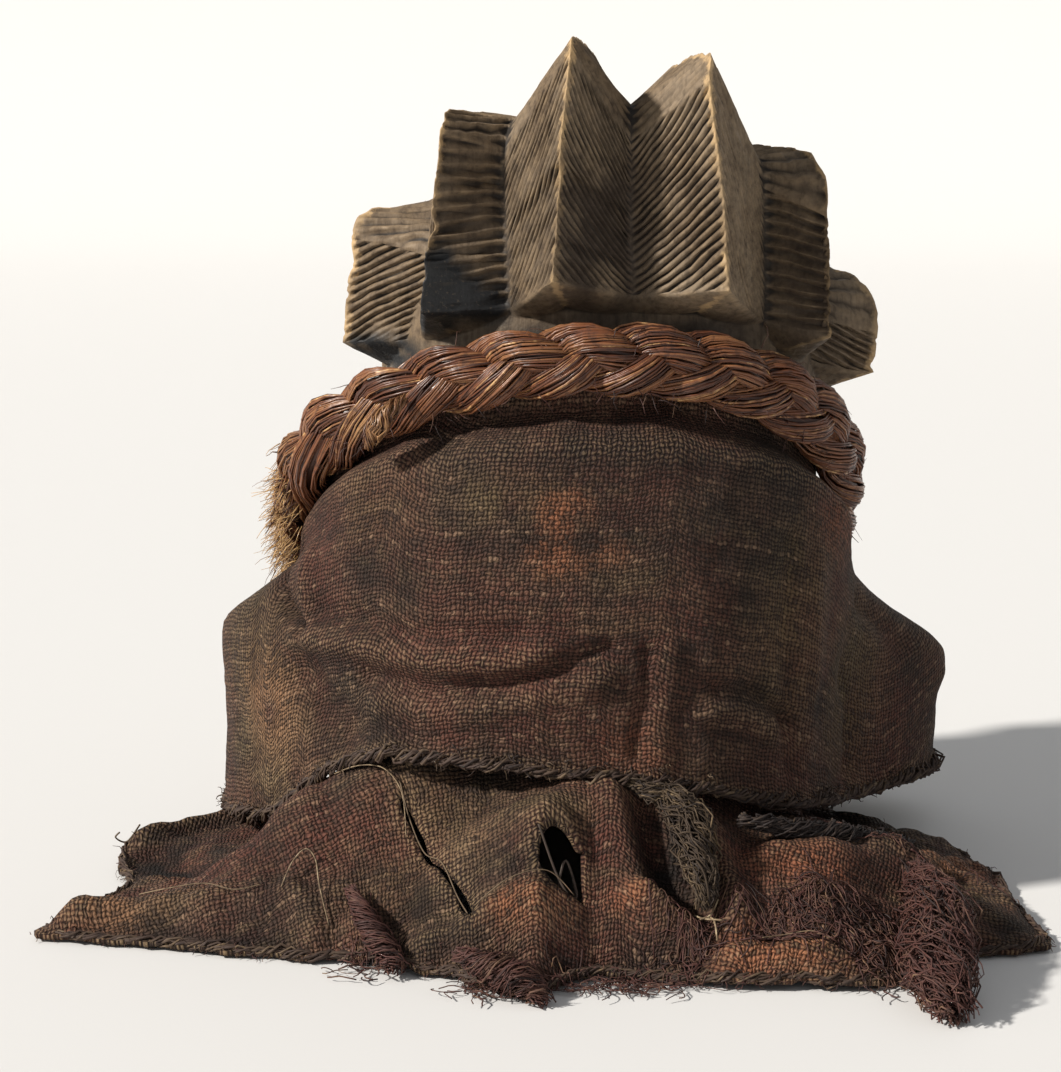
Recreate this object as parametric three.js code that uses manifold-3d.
// A carved wooden hood mask, standing on its own cloth as it is seen from behind.
// Millimetres. +Z is up, -Y is the back of the head, +Y is the face, and the floor is z = 0.
import * as THREE from "three";
import { mergeVertices } from "three/addons/utils/BufferGeometryUtils.js";
import Module from "manifold-3d";

const wasm = await Module();
wasm.setup();

// The wooden head leans to one side about a point inside the coiffure.
const headPivot = new THREE.Vector3(33, 0, 245);
const headLean = THREE.MathUtils.degToRad(5);
// Below this height the axis of the whole object is upright again.
const uprightBelow = 85;
// The whole part is moved so that the middle of its foot is the origin.
const footMiddle = new THREE.Vector2(6, -36);

// Carved head: half width, face depth and back depth at each height.
const headWidest = 88;
const headRows = [
  { z: 62, width: 34, face: 78, back: 70 },
  { z: 78, width: 52, face: 91, back: 78 },
  { z: 104, width: 70, face: 95, back: 82 },
  { z: 140, width: 83, face: 96, back: 83 },
  { z: 185, width: headWidest, face: 96, back: 83 },
  { z: 225, width: 86, face: 97, back: 83 },
  { z: 252, width: 77, face: 90, back: 77 },
  { z: 280, width: 55, face: 66, back: 58 },
  { z: 298, width: 28, face: 34, back: 30 },
];
const headRoundness = 2.25;
const headColumns = 52;
const faceCrowding = 0.62;
const cavity = {
  wall: 13,
  thickerBelow: 8,
  slimmest: 6,
  lowest: 78,
  highest: 292,
  heights: [40, 78, 104, 140, 185, 225, 250, 268],
  top: 276,
  columns: 26,
};
// Heights of the head's rows of points, crowded where the features are.
const headHeights = [
  [62, 70, 79, 88, 98, 107, 113, 118, 122, 125, 128, 132, 137, 143, 149, 154],
  [159, 166, 173, 179, 183, 186, 189, 193, 198, 204, 210, 215, 221, 230, 241, 252, 264, 276, 288, 298],
].flat();

// Carved face: places and half sizes across and up the face, and how far each feature rises.
// The features fade in from the side of the head over this depth.
const faceFadesIn = 45;
const nose = {
  wings: 15,
  bridge: 7,
  wingsZ: 158,
  narrowOver: 45,
  tipRise: 17,
  bridgeRise: 3,
  tipZ: 160,
  fallOver: 50,
  footZ: 149,
  footOver: 9,
  topZ: 222,
  topOver: 14,
};
const brow = { z: 217, arch: 0.01, middle: 30, rise: 3.2, half: 6, end: 62, endOver: 12 };
const eye = {
  x: 33,
  socket: { z: 196, half: 27, high: 22, rise: -5 },
  lid: { z: 191, half: 23, high: 13, rise: 8 },
  slit: { z: 187, half: 20, high: 2.6, bow: 0.008, endOver: 5, rise: -2.6 },
};
const lips = [
  { z: 131, half: 31, high: 9, rise: 10 },
  { z: 119, half: 25, high: 9, rise: 10 },
];
const parting = { z: 125, half: 27, high: 2.6, bow: 0.004, endOver: 5, rise: -3.5 };
const chin = { z: 90, half: 30, high: 20, rise: 8 };
const cheek = { x: 46, z: 152, half: 30, high: 34, rise: 4 };

// The rim: everything of the wood below this sloping plane is open.
const rimHeight = 144;
const rimSlope = 0.72;

// Coiffure: wedge-shaped fins, from one temple round the back to the other. Azimuths are in
// degrees from the back, at the foot and the head of a fin's ridge and of the valley after it.
// Reach is the ridge's distance from the axis, and dip is how far the valley's top lies under
// the lower of its two neighbours.
const fins = [
  { foot: -107, head: -105, reach: 104, footZ: 208, topZ: 243, corner: 14, dip: 6, valley: [-91, -90] },
  { foot: -75, head: -75, reach: 109, footZ: 210, topZ: 264, corner: 12, dip: 3, valley: [-58, -58] },
  { foot: -42, head: -40.5, reach: 111, footZ: 230, topZ: 306, corner: 8, dip: 2, valley: [-28, -33] },
  { foot: -13.5, head: -14, reach: 112, footZ: 248, topZ: 336, corner: 4, dip: 21, valley: [3.5, -1] },
  { foot: 20.5, head: 12.5, reach: 113, footZ: 250, topZ: 334, corner: 9, dip: 4, valley: [41, 36] },
  { foot: 47, head: 42, reach: 112, footZ: 234, topZ: 303, corner: 24, dip: 5, valley: [61, 58] },
  { foot: 75, head: 74, reach: 111, footZ: 217, topZ: 255, corner: 22, dip: 6, valley: [92, 90] },
  { foot: 108, head: 106, reach: 104, footZ: 205, topZ: 237, corner: 16 },
];
const finBevel = 14;
const finRoot = 76;
const ridgeLift = 10;
const valley = { reach: 86, corner: 12, lift: 4, footDrop: 5 };
const hairline = { azimuth: 130, reach: 95, corner: 10, lift: 5, footDrop: 3, topDrop: 6 };
const crownFocus = { y: 70, lift: 5 };
const crownHeart = new THREE.Vector3(0, 0, 230);
const backSteps = 3;
const cornerSteps = 3;
const topSteps = 7;

// Ears: a raised C low on each side of the head.
const ear = { y: 16, z: 182, deep: 11, high: 21, thick: 4.2, from: -140, to: 120, steps: 9, proud: 1 };

// Braid round the rim: over the wood at the back, and under the jaw at the face.
const braidReach = { side: 102.5, back: 98.5, face: 108 };
const braidSwell = { azimuth: -80, spread: 40, out: 17 };
const braidLift = { back: 6, face: -14, from: 95, over: 60 };
const braidHalfHeight = 14;
const braidHalfDepth = 9.5;
const braidLumps = { count: 30, depth: 1.6 };
const braidSteps = 72;
const braidSides = 8;
const braidEndAzimuth = -98;
const tuft = { length: 28, drop: 6, neck: 12, tip: 8 };

// Hood: a cloth tube from the wooden rim down to its frayed hem, bulging out below the braid.
// A flare starts and is full at those distances under the rim.
const hoodWall = 3;
const hoodInsideRim = 2;
const hoodBelowRim = 0.6;
const hoodBody = { side: 113, back: 107, face: 106, roundness: 2.3 };
const hoodFuller = 0.045;
const hoodShoulder = 17;
// Where the braid stands away from the wood, the cloth fills the gap between them like a shelf.
const hoodShelf = { gap: 5, over: 6, above: 3, drop: 3 };
const hoodClearOfBraid = 2.8;
// The hood stays behind the braid over this much more than the braid's height, and then lets go.
const hoodTucked = { past: 9, letGo: 14 };
const hoodColumns = 56;
const hoodRows = 9;
// Height of the hem at each azimuth from the back.
const hoodHem = [
  [-150, 15],
  [-100, 20],
  [-72, 28],
  [-52, 58],
  [-36, 69],
  [13, 62],
  [47, 45],
  [75, 33],
  [112, 26],
  [140, 15],
];
const hoodFlares = [
  { azimuth: -97, spread: 27, out: 30, start: 8, full: 52 },
  { azimuth: 110, spread: 22, out: 54, start: 10, full: 56 },
];

// Ground cloth: the ragged under layer, spread on the floor round a neck opening.
const clothOutline = [
  [-190, -108],
  [-105, -127],
  [-52, -138],
  [0, -168],
  [24, -150],
  [88, -162],
  [128, -160],
  [160, -128],
  [196, -122],
  [190, -44],
  [178, -8],
  [150, 16],
  [122, 42],
  [80, 96],
  [0, 112],
  [-78, 90],
  [-122, 28],
  [-172, -8],
  [-163, -58],
];
const clothColumns = 60;
const clothRings = 5;
const clothEdge = 7;
// The cloth lies on the floor from this share of its spread outwards, and is hollow under the rest,
// as thick as this where it stands up round the neck.
const clothFloorFrom = 0.8;
const clothThick = 7;
const clothUnderShares = [0, 0.3, 0.6];
const clothMiddleX = 19;
const neckReach = 90;
// How far the ground cloth's neck lies under the hood's hem, at each azimuth.
const clothUnderHem = [
  [-100, 4],
  [40, 4],
  [75, 12],
  [110, 14],
  [150, 5],
];
const clothRipples = { count: 7, height: 0.17 };

// Small pieces lying on the ground cloth: [x, y, z, radius] along each.
const stripRoute = [
  [51.8, -108, 57.4, 4],
  [54, -112.6, 56, 6],
  [60.1, -120.7, 49.6, 8],
  [61.6, -127.2, 42.2, 7],
  [64, -134, 33.4, 5],
  [64.3, -137.5, 27.6, 3],
];
const tasselRoute = [
  [148, -107, 24.5, 5],
  [149, -121, 23, 9],
  [149, -136, 20.5, 11],
  [147, -151, 18.6, 12],
  [145, -165, 13.4, 12.6],
  [145, -177, 11.4, 11],
  [147, -187, 7.4, 7],
];
const hankSides = 12;

const turn = Math.PI * 2;
const radians = THREE.MathUtils.degToRad;
const degrees = THREE.MathUtils.radToDeg;
const lerp = THREE.MathUtils.lerp;
const clamp = THREE.MathUtils.clamp;
const smooth = (x) => THREE.MathUtils.smoothstep(x, 0, 1);

// The azimuth brought into -180 to 180 degrees.
const wrapped = (angle) => ((((angle + 180) % 360) + 360) % 360) - 180;

// Where the leaning head's axis stands at a height.
function axisX(z) {
  return headPivot.x - (headPivot.z - Math.max(z, uprightBelow)) * Math.tan(headLean);
}

// A point at an azimuth from the back, at a distance from an axis.
function polar(azimuth, reach, z = 0) {
  return new THREE.Vector3(reach * Math.sin(azimuth), -reach * Math.cos(azimuth), z);
}

// A smooth value through a short list of [place, value] pairs.
function through(pairs, place) {
  const last = pairs.length - 1;
  let i = 0;
  while (i < last - 1 && place > pairs[i + 1][0]) i++;
  const slopeAt = (k) => {
    const a = pairs[Math.max(0, k - 1)];
    const b = pairs[Math.min(last, k + 1)];
    return (b[1] - a[1]) / (b[0] - a[0]);
  };
  const [x0, y0] = pairs[i];
  const [x1, y1] = pairs[i + 1];
  const span = x1 - x0;
  const t = clamp((place - x0) / span, 0, 1);
  const rise = t * t * (3 - 2 * t);
  const leave = t * (1 - t) * (1 - t) * span * slopeAt(i);
  const arrive = t * t * (t - 1) * span * slopeAt(i + 1);
  return lerp(y0, y1, rise) + leave + arrive;
}

// The same for a value that comes round again after 360 degrees.
function around(pairs, angle) {
  const closed = [-360, 0, 360].flatMap((shift) => pairs.map(([at, value]) => [at + shift, value]));
  return through(closed, wrapped(angle));
}

// Radius of a rounded oval whose back and face are of different depth.
function oval(azimuth, width, back, face, roundness) {
  const depth = Math.cos(azimuth) > 0 ? back : face;
  const across = (Math.abs(Math.sin(azimuth)) / width) ** roundness;
  const along = (Math.abs(Math.cos(azimuth)) / depth) ** roundness;
  return (across + along) ** (-1 / roundness);
}

// Skins a stack of rings of points. A hoop joins its last ring to its first one,
// and otherwise a fan closes each end.
function skin(rings, isHoop) {
  const count = rings[0].length;
  const points = rings.flat();
  const faces = [];
  const joins = isHoop ? rings.length : rings.length - 1;
  for (let i = 0; i < joins; i++) {
    const lower = i * count;
    const upper = ((i + 1) % rings.length) * count;
    for (let j = 0; j < count; j++) {
      const k = (j + 1) % count;
      faces.push(lower + j, lower + k, upper + k, lower + j, upper + k, upper + j);
    }
  }
  if (!isHoop) {
    addFan(points, faces, 0, count, true);
    addFan(points, faces, rings.length - 1, count, false);
  }
  return solidOf(points, faces);
}

// Closes one ring of a skin with triangles to its middle.
function addFan(points, faces, ring, count, isFirst) {
  const start = ring * count;
  const middle = new THREE.Vector3();
  for (let j = 0; j < count; j++) middle.addScaledVector(points[start + j], 1 / count);
  for (let j = 0; j < count; j++) {
    const edge = [start + j, start + ((j + 1) % count)];
    if (isFirst) edge.reverse();
    faces.push(...edge, points.length);
  }
  points.push(middle);
}

// A manifold solid from points and triangles, turned to face outwards.
function solidOf(points, faces) {
  const geometry = new THREE.BufferGeometry().setFromPoints(points);
  geometry.setIndex(faces);
  const merged = mergeVertices(geometry, 1e-3);
  const triVerts = new Uint32Array(merged.index.array);
  const vertProperties = merged.attributes.position.array;
  const build = () => new wasm.Manifold(new wasm.Mesh({ numProp: 3, vertProperties, triVerts }));
  const first = build();
  if (first.volume() > 0) return first;
  for (let i = 0; i < triVerts.length; i += 3) {
    [triVerts[i + 1], triVerts[i + 2]] = [triVerts[i + 2], triVerts[i + 1]];
  }
  return build();
}

// A named mesh from a manifold solid.
function meshOf(name, solid, material) {
  const { vertProperties, triVerts } = solid.getMesh();
  const geometry = new THREE.BufferGeometry();
  geometry.setAttribute("position", new THREE.BufferAttribute(vertProperties, 3));
  geometry.setIndex(new THREE.BufferAttribute(triVerts, 1));
  const mesh = new THREE.Mesh(geometry, material);
  mesh.name = name;
  return mesh;
}

// A round tube of changing radius through a list of points, closed at both ends.
function hank(points, radii) {
  const rings = points.map((p, i) => {
    const ahead = points[Math.min(i + 1, points.length - 1)].clone();
    ahead.sub(points[Math.max(i - 1, 0)]).normalize();
    const across = new THREE.Vector3(1, 0, 0);
    if (Math.abs(ahead.x) > 0.8) across.set(0, 0, 1);
    across.cross(ahead).normalize();
    const over = new THREE.Vector3().crossVectors(ahead, across);
    return Array.from({ length: hankSides }, (_, k) => {
      const angle = (turn * k) / hankSides;
      const out = across.clone().multiplyScalar(Math.cos(angle)).addScaledVector(over, Math.sin(angle));
      return p.clone().addScaledVector(out, radii[i]);
    });
  });
  return skin(rings, false);
}

// Carved face. A hump is a rounded swelling that fades out at its half width and half height.
const hump = (x, z, halfWidth, halfHeight) => smooth(1 - Math.hypot(x / halfWidth, z / halfHeight));

// What the features add to the head's depth, at a place across and up the face.
function faceRelief(x, z) {
  const side = Math.abs(x);
  const wings = lerp(nose.wings, nose.bridge, smooth((z - nose.wingsZ) / nose.narrowOver));
  const profile = lerp(nose.tipRise, nose.bridgeRise, clamp((z - nose.tipZ) / nose.fallOver, 0, 1));
  const noseEnds = smooth((z - nose.footZ) / nose.footOver) * smooth((nose.topZ - z) / nose.topOver);
  const noseRise = profile * smooth(1 - side / wings) * noseEnds;
  const browLine = brow.z - brow.arch * (side - brow.middle) ** 2;
  const browRise = brow.rise * smooth(1 - Math.abs(z - browLine) / brow.half) * smooth((brow.end - side) / brow.endOver);
  const fromEye = side - eye.x;
  const socketRise = eye.socket.rise * hump(fromEye, z - eye.socket.z, eye.socket.half, eye.socket.high);
  const lidRise = eye.lid.rise * hump(fromEye, z - eye.lid.z, eye.lid.half, eye.lid.high);
  const slitLine = Math.abs(z - eye.slit.z + eye.slit.bow * fromEye ** 2);
  const slitEnds = smooth((eye.slit.half - Math.abs(fromEye)) / eye.slit.endOver);
  const slitRise = eye.slit.rise * smooth(1 - slitLine / eye.slit.high) * slitEnds;
  const lipRise = lips.reduce((sum, lip) => sum + lip.rise * hump(x, z - lip.z, lip.half, lip.high), 0);
  const partingLine = Math.abs(z - parting.z - parting.bow * x * x);
  const partingEnds = smooth((parting.half - side) / parting.endOver);
  const partingRise = parting.rise * smooth(1 - partingLine / parting.high) * partingEnds;
  const chinRise = chin.rise * hump(x, z - chin.z, chin.half, chin.high);
  const cheekRise = cheek.rise * hump(side - cheek.x, z - cheek.z, cheek.half, cheek.high);
  return noseRise + browRise + socketRise + lidRise + slitRise + lipRise + partingRise + chinRise + cheekRise;
}

// Radius of the plain skull at an azimuth and height.
function skullReach(azimuth, z) {
  const row = (key) => through(headRows.map((r) => [r.z, r[key]]), z);
  return oval(azimuth, row("width"), row("back"), row("face"), headRoundness);
}

function headReach(azimuth, z) {
  const reach = skullReach(azimuth, z);
  const p = polar(azimuth, reach);
  return reach + smooth(p.y / faceFadesIn) * faceRelief(p.x, z);
}

// Height of the top of the skull above a point of its plan.
function skullHeight(p) {
  const azimuth = Math.atan2(p.x, -p.y);
  const reach = Math.hypot(p.x, p.y);
  let low = headRows[5].z;
  let high = headRows[8].z;
  for (let i = 0; i < 14; i++) {
    const middle = (low + high) / 2;
    if (skullReach(azimuth, middle) > reach) low = middle;
    else high = middle;
  }
  return low;
}

// The head and face, with columns and rows crowded where the features are.
function headSolid() {
  const rings = headHeights.map((z) =>
    Array.from({ length: headColumns }, (_, i) => {
      const share = (turn * i) / headColumns;
      const azimuth = share + faceCrowding * Math.sin(share);
      return polar(azimuth, headReach(azimuth, z), z);
    }),
  );
  return skin(rings, false);
}

// The smooth hollow for the wearer's head.
function cavitySolid() {
  const rings = [...cavity.heights, cavity.top].map((z) =>
    Array.from({ length: cavity.columns }, (_, i) => {
      const azimuth = (turn * i) / cavity.columns;
      const wood = skullReach(azimuth, clamp(z + cavity.thickerBelow, cavity.lowest, cavity.highest));
      return polar(azimuth, Math.max(wood - cavity.wall, cavity.slimmest), z);
    }),
  );
  return skin(rings, false);
}

// One ear, following the side of the head.
function earSolid(side) {
  const points = [];
  const radii = [];
  for (let i = 0; i <= ear.steps; i++) {
    const share = i / ear.steps;
    const angle = radians(lerp(ear.from, ear.to, share));
    const y = ear.y + ear.deep * Math.cos(angle);
    const z = ear.z + ear.high * Math.sin(angle);
    const turned = Math.asin(y / headWidest);
    const x = skullReach(Math.PI / 2 + turned, z) * Math.cos(turned) + ear.proud;
    points.push(new THREE.Vector3(side * x, y, z));
    radii.push(ear.thick * lerp(0.55, 1, Math.sin(Math.PI * share)));
  }
  return hank(points, radii);
}

// One line of the coiffure from its bevelled foot up the back, over its corner and along
// the top to the hairline. Ridges, valleys and the hairline differ only in their sizes.
function crownLine({ foot, head, reach, footZ, topZ, corner, lift }) {
  const line = [polar(radians(foot), finRoot, footZ - finBevel)];
  const straightTop = topZ - corner;
  for (let i = 0; i <= backSteps; i++) {
    const share = i / backSteps;
    line.push(polar(radians(lerp(foot, head, share)), reach, lerp(footZ, straightTop, share)));
  }
  const start = polar(radians(head), reach);
  const focus = new THREE.Vector3(0, crownFocus.y, 0);
  const focusZ = skullHeight(focus) + crownFocus.lift;
  const inward = focus.clone().sub(start);
  const length = inward.length();
  inward.normalize();
  for (let i = 1; i <= cornerSteps; i++) {
    const bend = (Math.PI / 2) * (i / cornerSteps);
    const p = start.clone().addScaledVector(inward, corner * (1 - Math.cos(bend)));
    p.z = straightTop + corner * Math.sin(bend);
    line.push(p);
  }
  for (let i = 1; i < topSteps; i++) {
    const share = lerp(corner / length, 1, i / topSteps);
    const p = start.clone().addScaledVector(inward, length * share);
    p.z = Math.max(lerp(topZ, focusZ, share ** 2.6), skullHeight(p) + lift);
    line.push(p);
  }
  focus.z = focusZ;
  line.push(focus);
  return line;
}

function hairlineLine(side, fin) {
  const azimuth = side * hairline.azimuth;
  const footZ = fin.footZ - hairline.footDrop;
  const topZ = fin.topZ - hairline.topDrop;
  return crownLine({ ...hairline, foot: azimuth, head: azimuth, footZ, topZ });
}

function valleyLine(fin, next) {
  return crownLine({
    ...valley,
    foot: fin.valley[0],
    head: fin.valley[1],
    footZ: (fin.footZ + next.footZ) / 2 - valley.footDrop,
    topZ: Math.min(fin.topZ, next.topZ) - fin.dip,
  });
}

// The lines of the coiffure in order: hairline, ridge, valley, ridge ... ridge, hairline.
function crownLines() {
  const lines = [hairlineLine(-1, fins[0])];
  fins.forEach((fin, i) => {
    lines.push(crownLine({ ...fin, lift: ridgeLift }));
    if (fins[i + 1]) lines.push(valleyLine(fin, fins[i + 1]));
  });
  lines.push(hairlineLine(1, fins[fins.length - 1]));
  return lines;
}

// The coiffure's skin between its lines, closed to a point inside the head.
function crownSolid() {
  const lines = crownLines();
  const rows = lines[0].length;
  const points = lines.flat();
  const heart = points.length;
  points.push(crownHeart);
  const faces = [];
  for (let i = 0; i < lines.length - 1; i++) {
    for (let k = 0; k < rows - 1; k++) {
      const a = i * rows + k;
      const b = a + rows;
      faces.push(a, b, b + 1);
      if (k < rows - 2) faces.push(a, b + 1, a + 1);
    }
    faces.push(i * rows, heart, (i + 1) * rows);
  }
  const lastLine = (lines.length - 1) * rows;
  for (let k = 0; k < rows - 1; k++) {
    faces.push(heart, k, k + 1);
    faces.push(heart, lastLine + k + 1, lastLine + k);
  }
  return solidOf(points, faces);
}

// A block below the rim plane, which opens the wooden head.
function rimCutter() {
  const far = 200;
  const corners = [
    [-far, -far],
    [far, -far],
    [far, far],
    [-far, far],
  ];
  const bottom = corners.map(([x, y]) => new THREE.Vector3(x, y, -far));
  const top = corners.map(([x, y]) => new THREE.Vector3(x, y, rimHeight - rimSlope * y));
  return skin([bottom, top], false);
}

// The head's own frame, turned into its leaning place.
const headPlace = new THREE.Matrix4()
  .makeTranslation(headPivot)
  .multiply(new THREE.Matrix4().makeRotationY(headLean))
  .multiply(new THREE.Matrix4().makeTranslation(0, 0, -headPivot.z));

function carvedMask() {
  const outside = headSolid().add(crownSolid()).add(earSolid(-1)).add(earSolid(1));
  const hollowed = outside.subtract(cavitySolid()).transform(headPlace.elements);
  return hollowed.subtract(rimCutter());
}

// The point of the wooden rim at an azimuth, found by stepping onto the sloping plane.
function rimPoint(azimuth) {
  const back = headPlace.clone().invert();
  let p = new THREE.Vector3(0, 0, rimHeight);
  for (let i = 0; i < 8; i++) {
    const height = p.clone().applyMatrix4(back).z;
    p = polar(azimuth, headReach(azimuth, height), height).applyMatrix4(headPlace);
    p.z = rimHeight - rimSlope * p.y;
  }
  return p;
}

// How far an azimuth is round to the face, where the braid runs under the jaw.
function underJaw(azimuth) {
  return smooth((Math.abs(wrapped(degrees(azimuth))) - braidLift.from) / braidLift.over);
}

// Middle of the braid at an azimuth.
function braidCentre(azimuth) {
  const off = wrapped(degrees(azimuth) - braidSwell.azimuth) / braidSwell.spread;
  const swell = braidSwell.out * Math.exp(-off * off);
  const p = polar(azimuth, oval(azimuth, braidReach.side, braidReach.back, braidReach.face, 2) + swell);
  p.z = rimHeight - rimSlope * p.y + lerp(braidLift.back, braidLift.face, underJaw(azimuth));
  p.x += axisX(p.z);
  return p;
}

function rimBraid() {
  const start = radians(braidEndAzimuth);
  const rings = [];
  for (let i = 0; i < braidSteps; i++) {
    const azimuth = start + (turn * i) / braidSteps;
    const centre = braidCentre(azimuth);
    const ahead = braidCentre(azimuth + 0.01).sub(braidCentre(azimuth - 0.01)).normalize();
    const out = polar(azimuth, 1);
    out.addScaledVector(ahead, -out.dot(ahead)).normalize();
    const up = new THREE.Vector3().crossVectors(ahead, out);
    const beat = (i / braidSteps) * braidLumps.count * turn;
    const ring = [];
    for (let k = 0; k < braidSides; k++) {
      const angle = (turn * (k + 0.5)) / braidSides;
      const lump = braidLumps.depth * Math.cos(beat) * Math.sign(Math.sin(angle));
      const deep = (braidHalfDepth + lump) * Math.cos(angle);
      const high = (braidHalfHeight + lump) * Math.sin(angle);
      ring.push(centre.clone().addScaledVector(out, deep).addScaledVector(up, high));
    }
    rings.push(ring);
  }
  return skin(rings, true).add(braidTuft(start));
}

// The frayed ends of the braid stand out in a tuft where they meet.
function braidTuft(azimuth) {
  const root = braidCentre(azimuth);
  const steps = 5;
  const points = [];
  const radii = [];
  for (let i = 0; i <= steps; i++) {
    const share = i / steps;
    const p = root.clone().addScaledVector(polar(azimuth, 1), tuft.length * share);
    p.z -= tuft.drop * share;
    points.push(p);
    radii.push(lerp(tuft.neck, tuft.tip, share) + 3 * Math.sin(Math.PI * share));
  }
  return hank(points, radii);
}

// Where the hood's top edge meets the wood at an azimuth, and how much of a shelf it has there.
function hoodTop(azimuth) {
  const rim = rimPoint(azimuth);
  const braid = braidCentre(azimuth);
  const reach = Math.hypot(rim.x - axisX(rim.z), rim.y) - hoodInsideRim;
  const halfDepth = braidHalfDepth + braidLumps.depth + hoodClearOfBraid;
  const room = Math.hypot(braid.x - axisX(braid.z), braid.y) - halfDepth;
  const shelf = smooth((room - hoodWall - reach - hoodShelf.gap) / hoodShelf.over);
  return { z: rim.z, reach, room, shelf, braidZ: braid.z };
}

// Outer radius of the hood about the axis, at a height under its top edge.
function hoodReach(azimuth, z, top) {
  const { side, back, face, roundness } = hoodBody;
  const body = (1 - hoodFuller * Math.sin(azimuth)) * oval(azimuth, side, back, face, roundness);
  const below = top.z - z;
  const shoulder = Math.sin((Math.PI / 2) * clamp(below / hoodShoulder, 0, 1));
  let reach = lerp(top.reach, body, Math.max(shoulder, top.shelf));
  for (const flare of hoodFlares) {
    const off = wrapped(degrees(azimuth) - flare.azimuth) / flare.spread;
    reach += flare.out * Math.exp(-off * off) * smooth((below - flare.start) / (flare.full - flare.start));
  }
  const pastBraid = Math.abs(z - top.braidZ) - braidHalfHeight - hoodTucked.past;
  const free = smooth(pastBraid / hoodTucked.letGo);
  return lerp(Math.min(reach, top.room), reach, free);
}

function hoodCloth() {
  const outer = Array.from({ length: hoodRows + 1 }, () => []);
  const inner = Array.from({ length: hoodRows + 1 }, () => []);
  for (let i = 0; i < hoodColumns; i++) {
    const azimuth = (turn * i) / hoodColumns;
    const top = hoodTop(azimuth);
    const hem = around(hoodHem, degrees(azimuth));
    const shoulderZ = lerp(top.z - hoodShelf.drop, top.braidZ + hoodShelf.above, top.shelf);
    for (let row = 0; row <= hoodRows; row++) {
      const z = row === 0 ? top.z : lerp(shoulderZ, hem, (row - 1) / (hoodRows - 1));
      const reach = row === 0 ? top.reach : hoodReach(azimuth, z, top);
      [outer, inner].forEach((side, k) => {
        const p = polar(azimuth, reach - k * hoodWall, z);
        p.x += axisX(z);
        if (row === 0) p.z = rimHeight - rimSlope * p.y - hoodBelowRim;
        side[row].push(p);
      });
    }
  }
  return skin([...outer, ...inner.reverse()], true);
}

// Reach of the ground cloth's ragged outline from its middle.
function outlineReach(azimuth) {
  const way = polar(azimuth, 1);
  const count = clothOutline.length;
  for (let i = 0; i < count; i++) {
    const [ax, ay] = clothOutline[i];
    const [bx, by] = clothOutline[(i + 1) % count];
    const from = { x: ax - clothMiddleX, y: ay };
    const edge = { x: bx - ax, y: by - ay };
    const det = edge.x * way.y - edge.y * way.x;
    const along = (from.y * way.x - from.x * way.y) / det;
    const reach = (edge.x * from.y - edge.y * from.x) / det;
    if (along >= 0 && along < 1 && reach > 0) return reach;
  }
  return neckReach;
}

// Height of the ground cloth's top, from the neck opening (share 0) to its edge (share 1).
function clothHeight(azimuth, share) {
  const neck = around(hoodHem, degrees(azimuth)) - around(clothUnderHem, degrees(azimuth));
  const fall = smooth((share + share * share) / 2);
  const ripple = Math.sin(clothRipples.count * azimuth + 4 * share) * Math.sin(Math.PI * share);
  return Math.max(clothEdge, lerp(neck, clothEdge, fall) * (1 + clothRipples.height * ripple));
}

// One ring of the ground cloth: its top, or its underside when it is lowered to the given height.
function clothRing(share, height) {
  return Array.from({ length: clothColumns }, (_, i) => {
    const azimuth = (turn * i) / clothColumns;
    const reach = lerp(neckReach, outlineReach(azimuth), share);
    const p = polar(azimuth, reach, height(clothHeight(azimuth, share)));
    p.x += clothMiddleX;
    return p;
  });
}

// The cloth spreads from the neck down to the floor, hollow below, and its border lies flat.
function groundCloth() {
  const upper = Array.from({ length: clothRings + 1 }, (_, k) => clothRing(k / clothRings, (z) => z));
  const border = [1, clothFloorFrom].map((share) => clothRing(share, () => 0));
  const under = clothUnderShares.toReversed().map((share) => clothRing(share, (z) => Math.max(z - clothThick, 1)));
  return skin([...upper, ...border, ...under], true);
}

// A knotted strip or a bunch of loose fibre, from its route.
function bundle(route) {
  const points = route.map(([x, y, z]) => new THREE.Vector3(x, y, z));
  return hank(points, route.map((stop) => stop[3]));
}

const wood = new THREE.MeshStandardMaterial({ color: 0x5d4a36, roughness: 0.72, metalness: 0 });
const raffia = new THREE.MeshStandardMaterial({ color: 0x5a2f1c, roughness: 0.5, metalness: 0 });
const hoodWeave = new THREE.MeshStandardMaterial({ color: 0x38251b, roughness: 0.9, metalness: 0 });
const groundWeave = new THREE.MeshStandardMaterial({ color: 0x4a3324, roughness: 0.92, metalness: 0 });
const fibre = new THREE.MeshStandardMaterial({ color: 0x3a2018, roughness: 0.85, metalness: 0 });

const mask = new THREE.Group();
mask.name = "hood_mask";
mask.position.set(-footMiddle.x, -footMiddle.y, 0);
mask.add(meshOf("carved_mask", carvedMask(), wood));
mask.add(meshOf("rim_braid", rimBraid(), raffia));
mask.add(meshOf("hood_cloth", hoodCloth(), hoodWeave));
mask.add(meshOf("ground_cloth", groundCloth(), groundWeave));
mask.add(meshOf("knotted_strip", bundle(stripRoute), groundWeave));
mask.add(meshOf("fibre_tassel", bundle(tasselRoute), fibre));

export default mask;
